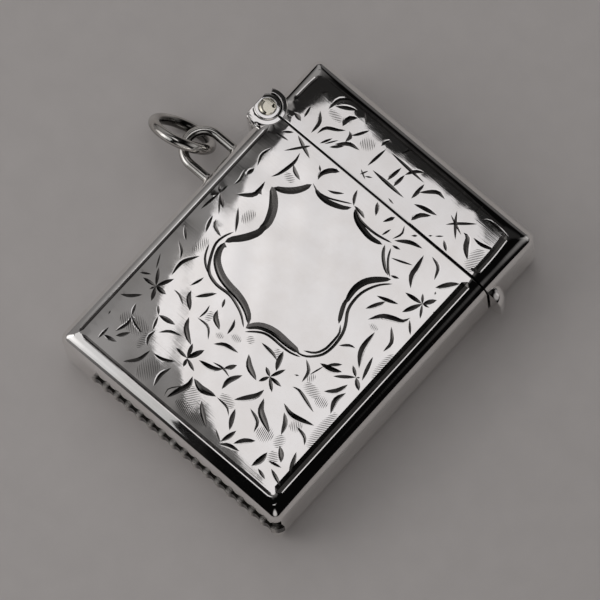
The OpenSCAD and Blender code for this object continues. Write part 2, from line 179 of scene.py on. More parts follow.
# Leaves of the body, from its foot up to the seam, and then those of the lid, with two flowers of crossing
# strokes and the line along the far edge
LEAVES = (
    (0.25, -15.2, -14.7, -14.3, -14.15, -13.1, -13.0), (0.25, -13.0, -14.3, -12.4, -15.8),
    (0.40, -12.4, -15.8, -11.5, -16.1, -10.0, -16.5), (0.30, -12.4, -15.8, -12.1, -16.8, -12.6, -18.5),
    (0.15, -14.7, -16.9, -14.6, -17.5), (0.30, -11.1, -17.4, -12.2, -18.85),
    (0.25, -13.5, -18.6, -13.6, -20.5), (0.30, -13.4, -19.7, -11.6, -19.3),
    (0.25, -10.9, -12.7, -10.0, -13.6), (0.25, -9.95, -13.7, -9.3, -15.5),
    (0.22, -8.6, -15.2, -7.7, -14.2, -6.2, -13.7), (0.28, -9.0, -15.2, -9.1, -16.4, -8.5, -17.4),
    (0.30, -7.4, -17.5, -6.0, -17.3, -4.7, -16.5), (0.35, -7.85, -17.45, -8.2, -19.2, -9.45, -20.6),
    (0.35, -4.55, -17.4, -4.95, -18.9, -4.65, -20.5), (0.22, -6.3, -10.8, -4.6, -10.8, -3.5, -12.0),
    (0.35, -2.7, -11.95, -1.6, -11.1, 0.25, -10.8), (0.40, -2.7, -14.55, -0.9, -14.2, 0.2, -13.5),
    (0.20, -1.3, -13.65, 0.1, -13.4, 1.45, -13.7), (0.35, 1.15, -12.0, 0.2, -13.4),
    (0.40, 2.45, -12.5, 1.6, -14.0, 1.7, -15.4), (0.45, 5.55, -12.1, 5.2, -13.4, 3.65, -15.4),
    (0.50, -1.95, -16.5, -1.65, -17.6, -2.1, -19.0, -2.6, -20.45),
    (0.12, -2.0, -18.1, -3.1, -19.5, -2.9, -20.5), (0.20, 1.9, -16.5, 3.6, -16.6, 4.5, -17.3),
    (0.15, 4.3, -19.4, 5.9, -20.3), (0.35, 6.35, -18.0, 5.8, -20.2),
    (0.45, 8.4, -11.8, 10.1, -12.2, 12.9, -11.45), (0.35, 9.15, -12.6, 10.05, -13.5, 10.7, -14.9),
    (0.30, 11.45, -12.9, 12.9, -13.2, 13.6, -14.0), (0.30, 5.8, -14.9, 7.5, -15.5, 8.05, -16.8),
    (0.35, 13.4, -15.2, 14.1, -16.8, 14.95, -18.2), (0.25, 11.6, -18.2, 13.35, -17.8),
    (0.45, 10.85, -17.5, 10.8, -18.7, 10.5, -20.0), (0.40, 8.9, -17.4, 7.8, -18.3, 7.1, -19.4),
    (0.35, 5.8, -20.6, 6.8, -19.9, 8.3, -19.6), (0.35, 12.5, -18.7, 14.7, -19.5),
    (0.30, 11.3, -19.7, 12.8, -20.1), (0.30, -13.3, -0.2, -12.9, -1.5, -12.5, -2.4),
    (0.30, -12.65, -0.3, -12.3, -1.05, -10.8, -1.55), (0.25, -15.05, -3.3, -13.6, -4.7),
    (0.25, -14.3, -5.2, -13.2, -5.9, -12.65, -6.8), (0.25, -9.0, -6.6, -9.1, -7.2, -9.55, -8.45),
    (0.35, -11.1, -5.0, -12.2, -6.9, -12.1, -9.0), (0.15, -14.9, -7.8, -14.0, -9.6),
    (0.20, -15.2, -11.2, -14.0, -10.45), (0.35, -6.5, -7.1, -8.2, -9.1),
    (0.20, -6.2, -8.7, -6.0, -9.6, -6.15, -10.7), (0.20, -10.7, -10.1, -9.7, -10.15, -8.6, -10.8),
    (0.25, -5.35, -6.9, -4.85, -8.0), (0.25, -13.5, 10.7, -13.85, 9.2, -13.3, 7.8),
    (0.40, -13.4, 7.4, -13.6, 6.1), (0.25, -14.2, 6.6, -13.75, 5.2, -13.95, 4.2),
    (0.45, -11.35, 7.0, -11.2, 5.9, -11.35, 4.8, -12.9, 3.5), (0.25, -11.2, 5.6, -10.55, 5.5),
    (0.28, -11.65, 2.5, -10.65, 1.2, -9.8, -0.05),
    (0.35, -10.55, 12.4, -10.3, 11.0, -10.7, 8.9, -11.2, 7.9), (0.28, -10.2, 10.8, -9.45, 10.2, -8.3, 9.85),
    (0.30, -2.8, -8.0, -2.4, -8.8, -2.25, -10.0), (0.30, 1.5, -8.05, 3.4, -8.15, 4.4, -8.5),
    (0.40, 4.15, -7.1, 4.5, -8.4, 5.1, -9.5), (0.25, 8.65, -2.25, 9.6, -1.4, 10.35, -1.2),
    (0.45, 10.8, 1.8, 10.85, 0.0, 11.2, -1.3, 12.3, -2.75), (0.35, 12.6, -0.6, 13.55, -3.65),
    (0.30, 10.5, -3.7, 9.2, -4.9), (0.45, 11.1, -4.4, 10.0, -4.95, 8.4, -5.35),
    (0.15, 9.0, -5.3, 8.4, -7.2), (0.40, 12.6, -5.1, 12.1, -6.5, 11.0, -7.6),
    (0.40, 13.1, -6.0, 12.7, -7.5, 13.4, -9.1), (0.25, 6.85, -6.05, 8.0, -7.0, 8.3, -8.5),
    (0.15, 7.0, -8.4, 7.6, -8.1), (0.30, 7.8, -9.65, 8.9, -9.45, 11.8, -10.3), (0.25, 7.6, 8.2, 8.65, 8.6),
    (0.45, 8.95, 12.7, 9.3, 11.0, 9.5, 9.8, 10.45, 8.6), (0.20, 6.2, 9.85, 7.4, 10.3, 8.8, 10.9),
    (0.35, 8.0, 5.25, 9.3, 5.7, 10.65, 6.2), (0.35, 9.3, 5.45, 8.05, 3.2),
    (0.45, 9.15, 2.4, 10.1, 3.8, 11.3, 4.5, 12.4, 5.0, 12.8, 5.9), (0.25, 12.9, 5.65, 14.2, 4.3),
    (0.35, 11.8, 3.6, 13.1, 2.2, 13.1, 0.65), (0.25, 12.95, 10.3, 13.15, 9.9),
    (0.50, -5.0, 13.95, -6.3, 13.2, -6.9, 12.1, -6.7, 11.3), (0.20, -7.8, 12.8, -7.1, 12.2),
    (0.20, -14.4, 12.4, -12.6, 12.6), (0.25, -14.0, 12.9, -12.8, 13.8), (0.30, 0.3, 14.2, 1.45, 12.5),
    (0.35, 3.6, 14.5, 2.55, 12.5), (0.20, 4.8, 13.9, 5.25, 12.9, 4.8, 11.7), (0.20, 3.9, 12.5, 3.55, 11.2),
    (0.25, -2.35, 13.5, -2.0, 12.5, -1.35, 11.7), (0.28, -1.35, 11.75, -0.5, 11.7, 0.65, 11.4),
    (0.25, -3.2, 12.1, -4.2, 11.4, -5.0, 11.1), (0.40, 5.1, 11.7, 6.7, 12.8, 8.3, 13.2),
    (0.30, 9.8, 13.2, 11.2, 12.7, 11.9, 11.2), (0.45, 14.5, 12.9, 13.7, 12.1, 12.6, 10.6),
    (0.35, 8.2, 15.2, 7.2, 14.3, 6.2, 13.45), (0.25, -13.45, 17.6, -13.1, 16.0),
    (0.35, -12.2, 17.9, -11.3, 16.7, -11.2, 15.1),
    (0.35, -8.25, 18.1, -9.0, 17.5, -10.3, 16.7, -10.6, 15.5),
    (0.40, -11.6, 18.7, -11.4, 20.3, -10.6, 21.1, -9.8, 21.6), (0.40, -11.2, 19.5, -10.3, 20.1, -8.9, 20.9),
    (0.50, -8.2, 20.2, -9.0, 19.4, -8.9, 18.2), (0.30, -6.1, 20.0, -6.9, 18.6, -7.4, 18.0),
    (0.30, -7.9, 18.3, -7.4, 17.9, -7.35, 16.9), (0.40, -5.4, 17.3, -6.8, 17.1, -8.15, 15.9),
    (0.30, -7.1, 16.5, -8.4, 15.2), (0.25, -8.8, 16.3, -9.55, 14.8), (0.15, -8.1, 16.6, -9.1, 15.1),
    (0.15, -8.1, 21.3, -6.9, 20.2), (0.15, -13.6, 19.6, -13.0, 20.4),
    (0.30, -3.8, 19.4, -3.6, 20.4, -3.1, 20.6), (0.30, -1.3, 20.3, -0.9, 21.2, -0.4, 21.5),
    (0.30, -2.4, 19.6, 3.1, 19.4), (0.30, -3.1, 19.5, -3.4, 16.5), (0.35, -2.6, 16.5, 2.5, 16.4),
    (0.35, -0.2, 19.0, -0.45, 16.7), (0.35, 0.7, 18.6, 0.6, 16.6), (0.30, 3.2, 19.3, 3.2, 16.9),
    (0.35, 2.3, 20.4, 1.3, 19.7, 0.7, 18.6), (0.15, 1.1, 15.15, 2.1, 15.0),
    (0.16, -3.75, 15.7, -2.5, 15.05), (0.16, -3.4, 15.1, -2.9, 16.1), (0.16, -2.8, 15.3, -1.95, 15.8),
    (0.27, -12.3, 13.9, -10.75, 13.2, -9.2, 12.6), (0.25, -12.2, 11.3, -10.7, 13.2, -9.8, 14.3),
    (0.28, 8.3, 19.4, 9.2, 18.1, 10.5, 16.6), (0.28, 8.4, 17.2, 9.2, 18.1, 11.2, 19.8),
    (0.22, 8.05, 18.55, 9.2, 18.1, 10.65, 17.5), (0.40, 6.3, 19.5, 5.0, 19.55, 3.4, 18.1),
    (0.40, 3.9, 16.6, 5.0, 17.0, 6.9, 17.4), (0.45, 6.4, 16.9, 5.3, 16.0, 4.95, 14.7),
    (0.50, 10.65, 17.9, 11.4, 17.8, 12.1, 16.7, 13.2, 15.7), (0.35, 11.95, 18.2, 13.2, 18.2, 15.0, 18.8),
    (0.30, 9.5, 15.65, 10.7, 14.75), (0.15, 9.2, 16.0, 8.4, 15.3), (0.35, -14.5, 15.7, -13.1, 15.4),
    (0.25, 5.3, 11.1, 6.4, 11.35), (0.30, 14.35, 8.2, 15.0, 8.6), (0.20, -14.7, 15.2, -14.9, 14.5),
    (0.40, -14.9, 21.35, 0.0, 21.55, 14.2, 21.5), (0.25, 11.3, 20.6, 12.1, 21.05, 15.0, 21.1),
    (0.12, 7.4, 22.0, 6.95, 20.4), (0.12, 10.2, 22.0, 9.95, 20.6),
)

# Leaves whose inner side is painted darker as shade
SHADED_LEAVES = (
    (0.32, -10.0, -13.6, -8.8, -13.5, -7.7, -13.2), (0.32, -9.05, -8.8, -8.8, -9.7, -7.5, -10.8),
    (0.35, -7.1, -11.4, -6.6, -12.6, -5.6, -13.4, -4.6, -13.8), (0.35, -5.1, -8.5, -4.7, -9.5, -3.3, -10.2),
    (0.40, 1.3, -10.1, 2.3, -11.3, 4.1, -11.9), (0.32, 0.8, -18.0, 1.7, -19.0, 3.4, -20.1),
    (0.32, 4.5, -16.1, 4.9, -17.3, 5.7, -18.5), (0.42, 6.2, -12.9, 7.0, -14.5, 9.5, -15.65),
    (0.45, -1.65, -16.6, -0.1, -17.1, 1.8, -16.5), (0.35, 11.45, -16.0, 12.9, -17.4),
)

# Patches of fine lines between the leaves: left, right, foot and head of each. The angles of their lines
# come in turn
HATCHED = (
    (-9.9, -8.8, -18.3, -16.0), (-7.8, -5.3, -21.0, -17.7), (-1.7, 0.9, -19.9, -17.2),
    (-1.6, 3.2, -20.9, -19.0), (13.1, 14.9, -14.0, -8.5), (10.5, 12.1, -13.8, -12.1),
    (10.3, 11.8, -16.5, -14.7), (8.1, 10.2, -17.2, -14.9), (11.0, 12.6, -18.4, -16.7),
    (-12.7, -11.2, -5.2, -2.7), (-0.3, 0.9, -9.2, -8.1), (-1.8, -0.4, -10.2, -9.1),
    (-5.8, -4.8, -10.5, -9.0), (8.3, 9.3, -8.1, -6.7), (8.6, 11.2, -9.2, -7.7), (10.8, 12.5, -9.6, -8.0),
    (13.6, 15.0, -2.8, 1.3), (-10.7, -9.2, 1.3, 3.5), (-10.3, -8.6, 8.7, 9.8), (9.7, 10.9, 1.7, 2.6),
    (-11.5, -9.3, 18.0, 19.2), (-6.1, -4.2, 17.6, 19.4), (12.8, 15.0, 14.6, 17.9),
    (-3.3, -2.3, -11.2, -10.2), (2.0, 4.3, -16.8, -15.3), (-13.5, -9.5, -17.6, -15.0),
    (3.2, 4.4, -8.2, -7.2),
)
HATCH_ANGLES = (0.9, 2.2, 0.55, 1.8)
HATCH_SPACING = 0.21
HATCH_WIDTH = 0.085


def on_face(x, y):
    """Place of a point of the drawing on the case."""
    return np.array((np.dot(DRAWING_X, (x, y, 1)), np.dot(DRAWING_Y, (x, y, 1))))


def smooth_line(points, count):
    """The given number of places along a soft curve through the points, evenly spaced."""
    points = np.array(points, float)
    ends = np.vstack((2 * points[0] - points[1], points, 2 * points[-1] - points[-2]))
    dense = []
    for a, b, c, d in zip(ends, ends[1:], ends[2:], ends[3:]):
        for t in np.linspace(0, 1, CURVE_STEPS, endpoint=False):
            dense.append(0.5 * (2 * b + (c - a) * t + (2 * a - 5 * b + 4 * c - d) * t ** 2
                                + (3 * b - a - 3 * c + d) * t ** 3))
    dense = np.array(dense + [points[-1]])
    run = np.concatenate(([0], np.cumsum(np.linalg.norm(np.diff(dense, axis=0), axis=1))))
    want = np.linspace(0, run[-1], count)
    return np.stack([np.interp(want, run, dense[:, i]) for i in (0, 1)], axis=1)


def hatching(patch, angle):
    """Straight lines side by side in the given direction, which fill an oval patch."""
    left, right, foot, head = patch
    middle = on_face((left + right) / 2, (foot + head) / 2)
    size = np.array(((right - left) / 2, (head - foot) / 2))
    along = np.array((math.cos(angle), math.sin(angle)))
    across = np.array((-along[1], along[0]))
    reach = np.linalg.norm(size * across)
    lines = []
    for offset in np.arange(HATCH_SPACING / 2 - reach, reach, HATCH_SPACING):
        start = offset * across / size
        step = along / size
        square = step @ step
        cross = start @ step
        root = cross ** 2 - square * (start @ start - 1)
        if root > 0:
            ends = ((-cross - math.sqrt(root)) / square, (-cross + math.sqrt(root)) / square)
            lines.append([middle + offset * across + t * along for t in ends])
    return lines


def all_cuts():
    """Every cut of the drawing: its path on the case, its width there and its style."""
    strokes = [(cut, BAND_STYLE if cut[0] >= BAND_FROM else LINE_STYLE) for cut in SHIELD]
    strokes += [(cut, SHADED_STYLE) for cut in SHADED]
    strokes += [(cut, LEAF_STYLE) for cut in LEAVES]
    strokes += [(cut, SHADED_LEAF_STYLE) for cut in SHADED_LEAVES]
    for middle, petals in FLOWERS:
        strokes += [((width, *middle, x, y), PETAL_STYLE) for width, x, y in petals]
    cuts = []
    for width, *places in BORDER:
        path = list(zip(places[::2], places[1::2]))
        cuts.append((path, width * BORDER_STYLE.widen, BORDER_STYLE))
    for (width, *places), style in strokes:
        path = [on_face(x, y) for x, y in zip(places[::2], places[1::2])]
        cuts.append((path, width * style.widen, style))
    for patch, angle in zip(HATCHED, HATCH_ANGLES * len(HATCHED)):
        cuts += [(path, HATCH_WIDTH, HATCH_STYLE) for path in hatching(patch, angle)]
    return cuts


def cushion(v, start, end, drop):
    """Fall of the face towards its edge, along one of its two directions."""
    return drop * np.clip((np.abs(v) - start) / (end - start), 0, CUSHION_END) ** 2


def crown(x, y):
    """How far the face lies below its highest level."""
    fall = DOME_DROP * ((2 * x / CASE_W) ** 2 + (2 * y / CASE_L) ** 2)
    fall = fall + cushion(x, *CUSHION_SIDE)
    fall = fall + cushion(np.minimum(y, 0), *CUSHION_FOOT)
    fall = fall + cushion(np.maximum(y, 0), *CUSHION_HEAD)
    fall = fall + LID_FALL * np.maximum(y - RIM_Y, 0)
    for kx, ky, phase in WAVES:
        fall = fall + WAVE_HEIGHT * (1 + np.sin(kx * x + ky * y + phase)) / len(WAVES)
    return fall


def outer_height(x, y):
    """Height of the front's outer sheet, before it is engraved."""
    edge = np.minimum(CASE_W / 2 - np.abs(x), CASE_L / 2 - np.abs(y))
    lean = np.clip((SHOULDER_R - edge) / SHOULDER_R, 0, 1)
    return SHOULDER_Z + np.sqrt(1 - lean ** 2) * (SHOULDER_R - crown(x, y))


class Shell:
    """One of the two front sheets, body or lid: the end it lies at and its cut edge along the rim."""

    def __init__(self, name, end):
        self.name = name
        self.end = end
        self.rim = RIM_Y + end * LID_GAP / 2
        self.points = []
        self.faces = []
        self.kinds = []

    def rim_at(self, x):
        """Where the sheet ends towards the rim, round the hinge's pocket where there is one."""
        reach = POCKET_R ** 2 - (x - HINGE_X) ** 2
        if reach <= (LID_GAP / 2) ** 2:
            return self.rim
        return RIM_Y + self.end * math.sqrt(reach)

    def ring(self, inset, heights):
        """Points on a line round the end of the case, from the hinge's side to the thumbpiece's side."""
        a = CASE_W / 2 - inset
        b = CASE_L / 2 - inset
        c = max(CORNER_R - inset, SOFT_CORNER)
        line = [(-a, y) for y in np.linspace(self.rim_at(-a), self.end * (b - c), SIDE_STEPS, endpoint=False)]
        turn = np.linspace(0, math.pi / 2, CORNER_STEPS)
        line += [(-(a - c) - c * math.cos(t), self.end * (b - c + c * math.sin(t))) for t in turn]
        line += [(x, self.end * b) for x in np.linspace(-(a - c), a - c, END_STEPS)[1:-1]]
        line += [(a - c + c * math.sin(t), self.end * (b - c + c * math.cos(t))) for t in turn]
        line += [(a, y) for y in np.linspace(self.end * (b - c), self.rim, SIDE_STEPS + 1)[1:]]
        first = len(self.points)
        self.points += [(x, y, heights(x, y)) for x, y in line]
        return list(range(first, len(self.points)))

    def rim_line(self, ring, height):
        """Points along the rim, from the thumbpiece's side to the hinge's, between a ring's two ends."""
        right = self.points[ring[-1]][0]
        left = self.points[ring[0]][0]
        pocket = HINGE_X + math.sqrt(POCKET_R ** 2 - (LID_GAP / 2) ** 2)
        turns = np.linspace(math.acos((pocket - HINGE_X) / POCKET_R), math.acos((left - HINGE_X) / POCKET_R),
                            POCKET_STEPS + 1)
        line = [(x, self.rim) for x in np.linspace(right, pocket, RIM_STEPS)[1:]]
        line += [(HINGE_X + POCKET_R * math.cos(t), RIM_Y + self.end * POCKET_R * math.sin(t))
                 for t in turns[1:-1]]
        first = len(self.points)
        self.points += [(x, y, height(x, y)) for x, y in line]
        return list(range(first, len(self.points)))

    def strip(self, low, high):
        """Quads between two lines that have the same number of points."""
        for i in range(len(low) - 1):
            self.faces.append((low[i], low[i + 1], high[i + 1], high[i]))
            self.kinds.append("silver")

    def inside(self, p, room):
        """Whether a point lies on the face, with some room to its edges."""
        x, y = p
        far = math.sin(FACE_ANGLE) * SHOULDER_R - SHOULDER_R - room
        return (abs(x) < CASE_W / 2 + far and self.end * y < CASE_L / 2 + far
                and self.end * (y - self.rim) > room
                and math.hypot(x - HINGE_X, y - RIM_Y) > POCKET_R + room)

    def clip(self, path, width, style):
        """The part of a cut that lies on this sheet: its places and its half width at each."""
        length = np.linalg.norm(np.diff(np.array(path), axis=0), axis=1).sum()
        count = max(TRIED_FEWEST, int(length * TRIED_PER_MM))
        line = smooth_line(path, count)
        ok = [self.inside(p, width / 2 + CUT_MARGIN) for p in line]
        best = (0, 0)
        start = None
        for i, good in enumerate(ok + [False]):
            if good and start is None:
                start = i
            if not good and start is not None:
                best = max(best, (i - start, start))
                start = None
        if best[0] < CUT_FEWEST:
            return None
        share = np.linspace(0, 1, count)[best[1]:best[1] + best[0]]
        line = line[best[1]:best[1] + best[0]]
        run = (share - share[0]) * length
        steps = max(CUT_FEWEST, int(run[-1] / CUT_STEP) + 1)
        want = np.linspace(0, run[-1], steps + 1)
        places = np.stack([np.interp(want, run, line[:, i]) for i in (0, 1)], axis=1)
        at = np.interp(want, run, share)
        half = width / 2 * np.sin(math.pi * np.clip(at, 0, 1)) ** style.taper
        half = half * np.clip(np.minimum(want, run[-1] - want) / CUT_TAPER, 0, 1)
        return Cut(places, half, style)


def in_outline(points, outline):
    """Which of the points lie inside a closed outline."""
    x, y = points[:, 0], points[:, 1]
    result = np.zeros(len(points), bool)
    for (x0, y0), (x1, y1) in zip(outline, np.roll(outline, -1, axis=0)):
        if y0 != y1:
            crosses = (y0 > y) != (y1 > y)
            result ^= crosses & (x < x0 + (y - y0) * (x1 - x0) / (y1 - y0))
    return result


class Cut:
    """One cut of the engraving: its places, its half widths there and its style."""

    def __init__(self, places, half, style):
        along = np.gradient(places, axis=0)
        across = np.stack((-along[:, 1], along[:, 0]), axis=1)
        across /= np.linalg.norm(across, axis=1)[:, None]
        if (np.sum(across * places) < 0) != style.inner:
            across = -across
        self.places = places
        self.half = half
        self.style = style
        self.across = across
        self.facet = 2 * half * (style.reach if 2 * half.max() > FACET_FROM else 0)

    def lines(self):
        """The lines along which the cut's sides bend."""
        offsets = [-self.half, 0 * self.half]
        if self.facet.any():
            slope = self.style.slope
            meet = (slope * self.half - FACET_SLOPE * self.facet) / (slope - FACET_SLOPE)
            offsets += [np.maximum(meet, 0), self.facet]
        else:
            offsets += [self.half]
        if self.style.lip:
            offsets += [self.half + LIP_WIDTH]
        return [self.places + offset[:, None] * self.across for offset in offsets]

    def depths(self, points):
        """How deep each kind of side is at each of the points."""
        dark = np.zeros(len(points))
        beside = np.zeros(len(points))
        for i in range(len(self.places) - 1):
            a, b = self.places[i:i + 2]
            along = b - a
            t = np.clip((points - a) @ along / (along @ along), 0, 1)
            apart = points - a - t[:, None] * along
            far = np.linalg.norm(apart, axis=1)
            out = apart @ self.across[i]
            half = self.half[i] + (self.half[i + 1] - self.half[i]) * t
            dark = np.maximum(dark, self.style.slope * (half - far))
            facet = self.facet[i] + (self.facet[i + 1] - self.facet[i]) * t
            beside = np.maximum(beside, np.where(out > 0, FACET_SLOPE * (facet - far), 0))
            if self.style.lip:
                on_lip = (out > LIP_START * half) & (far < half + LIP_WIDTH)
                edge = points + (half + LIP_WIDTH - far)[:, None] * self.across[i]
                ledge = outer_height(*points.T) - outer_height(*edge.T)
                beside = np.maximum(beside, np.where(on_lip, ledge, 0))
        none = np.zeros(len(points))
        return np.stack((dark, none, beside) if self.style.inner else (dark, beside, none), axis=1)


def cut_depths(points, cuts):
    """How deep each kind of side of the whole engraving is at each of the points."""
    depth = np.zeros((len(points), len(KINDS)))
    for cut in cuts:
        reach = max(cut.half.max(), cut.facet.max()) + LIP_WIDTH
        low = cut.places.min(axis=0) - reach
        high = cut.places.max(axis=0) + reach
        near = np.all((points > low) & (points < high), axis=1)
        depth[near] = np.maximum(depth[near], cut.depths(points[near]))
    return depth


def outline_of(shell, border):
    """The places of a border, seen from above, and the edges between them, all round."""
    flat = [Vector(shell.points[i][:2]) for i in border]
    edges = [(i, (i + 1) % len(border)) for i in range(len(border))]
    return flat, edges


def engraved_face(shell, border, cuts):
    """Fills the border with the outer face, cut by the engraving."""
    flat, edges = outline_of(shell, border)

    def add(line):
        first = len(flat)
        flat.extend(Vector(p) for p in line)
        edges.extend((first + i, first + i + 1) for i in range(len(line) - 1))

    for cut in cuts:
        for line in cut.lines():
            line = [p for p in line if shell.inside(p, CUT_MARGIN / 2)]
            if len(line) > 1:
                add(line)
    inner_rim = shell.rim + shell.end * RIM_ROUND[0]
    rim_points = [(x, inner_rim) for x in np.linspace(-CASE_W / 2, CASE_W / 2, 2 * RIM_STEPS)]
    add([p for p in rim_points if shell.inside(p, RIM_ROUND[0] / 2)])
    for x in np.arange(-CASE_W / 2, CASE_W / 2, FACE_GRID):
        for y in np.arange(-CASE_L / 2, CASE_L / 2, FACE_GRID):
            if shell.inside((x, y), CUT_MARGIN):
                flat.append(Vector((x, y)))

    places, _, faces, origins, _, _ = delaunay_2d_cdt(flat, edges, [], 0, SAME_PLACE)
    places = np.array(places)
    height = outer_height(*places.T) - cut_depths(places, cuts).max(axis=1)
    index = []
    for place, z, origin in zip(places, height, origins):
        on_border = [i for i in origin if i < len(border)]
        if on_border:
            index.append(border[on_border[0]])
        else:
            index.append(len(shell.points))
            shell.points.append((place[0], place[1], z))
    middles = np.array([places[list(f)].mean(axis=0) for f in faces])
    keep = in_outline(middles, np.array([shell.points[i][:2] for i in border]))
    for face, kept, depth in zip(faces, keep, cut_depths(middles, cuts)):
        if kept:
            shell.faces.append(tuple(index[i] for i in face))
            shell.kinds.append(KINDS[depth.argmax()] if depth.max() > LEAST_DEPTH else "silver")


def plain_face(shell, border):
    """Fills a border with flat triangles."""
    flat, edges = outline_of(shell, border)
    places, _, faces, origins, _, _ = delaunay_2d_cdt(flat, edges, [], 0, SAME_PLACE)
    middles = np.array([np.mean([places[i] for i in f], axis=0) for f in faces])
    keep = in_outline(middles, np.array(flat))
    for face, kept in zip(faces, keep):
        if kept:
            shell.faces.append(tuple(border[origins[i][0]] for i in face))
            shell.kinds.append("silver")


def build_front(name, end, materials):
    """An engraved front sheet with its inside, its rim and the pocket for the hinge."""
    shell = Shell(name, end)
    angles = np.linspace(math.pi / 2, FACE_ANGLE, SHOULDER_STEPS)
    inner_r = SHOULDER_R - WALL

    def side(inset, radius, fall, rim_height):
        """Lines round one side of the sheet, from the case's middle up to the face, and one along its rim."""
        rings = [shell.ring(inset, lambda x, y: MID_Z)]
        for angle in angles:
            def height(x, y, angle=angle):
                return SHOULDER_Z + math.cos(angle) * (radius - fall(x, y))
            rings.append(shell.ring(inset + radius * (1 - math.sin(angle)), height))
        return rings, shell.rim_line(rings[-1], rim_height)

    outer, outer_rim = side(0, SHOULDER_R, crown, lambda x, y: outer_height(x, y) - RIM_ROUND[1])
    inner, inner_rim = side(WALL, inner_r, lambda x, y: 0.0,
                            lambda x, y: SHOULDER_Z + math.cos(FACE_ANGLE) * inner_r)
    for rings in (outer, inner):
        for low, high in zip(rings, rings[1:]):
            shell.strip(low, high)
    cuts = [shell.clip(*cut) for cut in all_cuts()]
    cuts = [cut for cut in cuts if cut]
    engraved_face(shell, outer[-1] + outer_rim, cuts)
    plain_face(shell, inner[-1] + inner_rim)

    def loop(rings, rim):
        """The edge of one side of the sheet, all round."""
        return rings[0] + [r[-1] for r in rings[1:]] + rim + [r[0] for r in rings[:0:-1]] + [rings[0][0]]
    shell.strip(loop(outer, outer_rim), loop(inner, inner_rim))
    return shell_object(shell, materials)


def shell_object(shell, materials):
    """Makes the sheet's mesh, with a material for each kind of face and sharp edges between the kinds."""
    mesh = bpy.data.meshes.new(shell.name)
    mesh.from_pydata([(x * MM, y * MM, z * MM) for x, y, z in shell.points], [], shell.faces)
    kinds = list(materials)
    for kind in kinds:
        mesh.materials.append(materials[kind])
    mesh.polygons.foreach_set("material_index", [kinds.index(k) for k in shell.kinds])
    work = bmesh.new()
    work.from_mesh(mesh)
    bmesh.ops.recalc_face_normals(work, faces=work.faces)
    for face in work.faces:
        face.smooth = True
    for edge in work.edges:
        bend = edge.calc_face_angle(math.pi)
        edge.smooth = bend < SHARP_ANGLE and len({f.material_index for f in edge.link_faces}) == 1
    work.to_mesh(mesh)
    work.free()
    obj = bpy.data.objects.new(shell.name, mesh)
    bpy.context.scene.collection.objects.link(obj)
    return obj


# Painted shade: its colour, and the half widths between which it fades out at a crack
PAINTED_SHADE = (0.035, 0.033, 0.03)
CRACK_SHADE = (0.09, 0.14)
# The crack between the hinge's barrel and the lid: its radius, how far above the seam its painted shade is
# full, and how far its metal has to face up
BARREL_R = 1.66
BARREL_SHADE_FROM = 0.2
BARREL_FACING = (0.3, 0.7)
# The seam's painted shade starts over this width beside the barrel, and ends over this one beyond the side
# wall
SEAM_START = 0.1
SEAM_END = 0.05
# On the striker the painted shade lies between the ribs: how far from the middle of a flute the metal is
# unshaded, and up to where it is all shade
RIB_PITCH = 1.77
FLUTE_SHADE = (0.8, 0.4)
# On a wire the painted shade lies on the sides and below: how far up the metal faces where it starts and
# where it is full, and how thick it is
WIRE_UNSHADED = (0.75, 0.0)
WIRE_SHADE = 0.65
# The same for how far the metal faces inward, and the middles of the loop's bow and of the ring
INSIDE_UNSHADED = (0.1, 0.7)
INSIDE_SHADE = 0.9
LOOP_MIDDLE = (-20.6, 6.1, 5.0)
RING_MIDDLE = (-24.13, 6.1, 3.9)

# Clouds of tarnish and where they begin and end, the haze of wiping and what it does to the roughness, and
# scratches: their directions and sizes, how fine they are along, across and in depth, and how deep, in metres
CLOUDS = {"Scale": 260.0, "Detail": 5.0, "Roughness": 0.6}
CLOUD_EDGES = (0.35, 0.62)
HAZE = {"Scale": 1900.0, "Detail": 3.0, "Roughness": 0.6}
HAZE_ROUGHNESS = (0.6, 1.5)
SCRATCHES = ((0.5, 1.0), (-0.9, 0.7), (1.9, 0.85))
SCRATCH_FINENESS = (220.0, 9000.0, 900.0)
SCRATCH_NOISE = {"Scale": 1.0, "Detail": 2.0}
SCRATCH_DEPTH = 0.00001

# The filed ends of the hinge: the highest place of their flat dome, its two radii, how fine it is, the height
# that only the ends reach, how straight up they face, and the bend from which their edges are sharp
END_TOP = (HINGE_X - 1.0, RIM_Y - 0.8)
END_DOME_R = (70.0, 26.0)
END_CUTS = 3
END_FROM_Z = 9.5
END_FACING = 0.99
END_SHARP_ANGLE = math.radians(30)
WELD = 0.0001

# The floor: half its side, its height, the tones of its paper and their mottle, and its roughness
FLOOR_HALF = 1500.0
FLOOR_Z = -0.03
FLOOR_TONES = ((0.525, 0.497, 0.486, 1), (0.580, 0.549, 0.536, 1))
FLOOR_MOTTLE = {"Scale": 300.0, "Detail": 6.0}
FLOOR_ROUGHNESS = 0.9


def new_material(name):
    """An empty node material and its shader."""
    material = bpy.data.materials.new(name)
    material.use_nodes = True
    return material, material.node_tree, material.node_tree.nodes["Principled BSDF"]


def node(tree, kind, inputs=(), **settings):
    """Adds a node, sets its properties, and sets or links its inputs by name or number."""
    made = tree.nodes.new(kind)
    for name, value in settings.items():
        setattr(made, name, value)
    for name, value in dict(inputs).items():
        if isinstance(value, bpy.types.NodeSocket):
            tree.links.new(value, made.inputs[name])
        else:
            made.inputs[name].default_value = value
    return made


def spread(tree, value, low, high):
    """Maps a value from 0 and 1 to low and high."""
    made = node(tree, "ShaderNodeMapRange", {"Value": value, "To Min": low, "To Max": high})
    return made.outputs["Result"]


def fade(tree, value, start, full):
    """Rises smoothly from 0 where the value is at start to 1 where it is at full."""
    made = node(tree, "ShaderNodeMapRange", {"Value": value, "From Min": start, "From Max": full},
                interpolation_type="SMOOTHSTEP")
    return made.outputs["Result"]


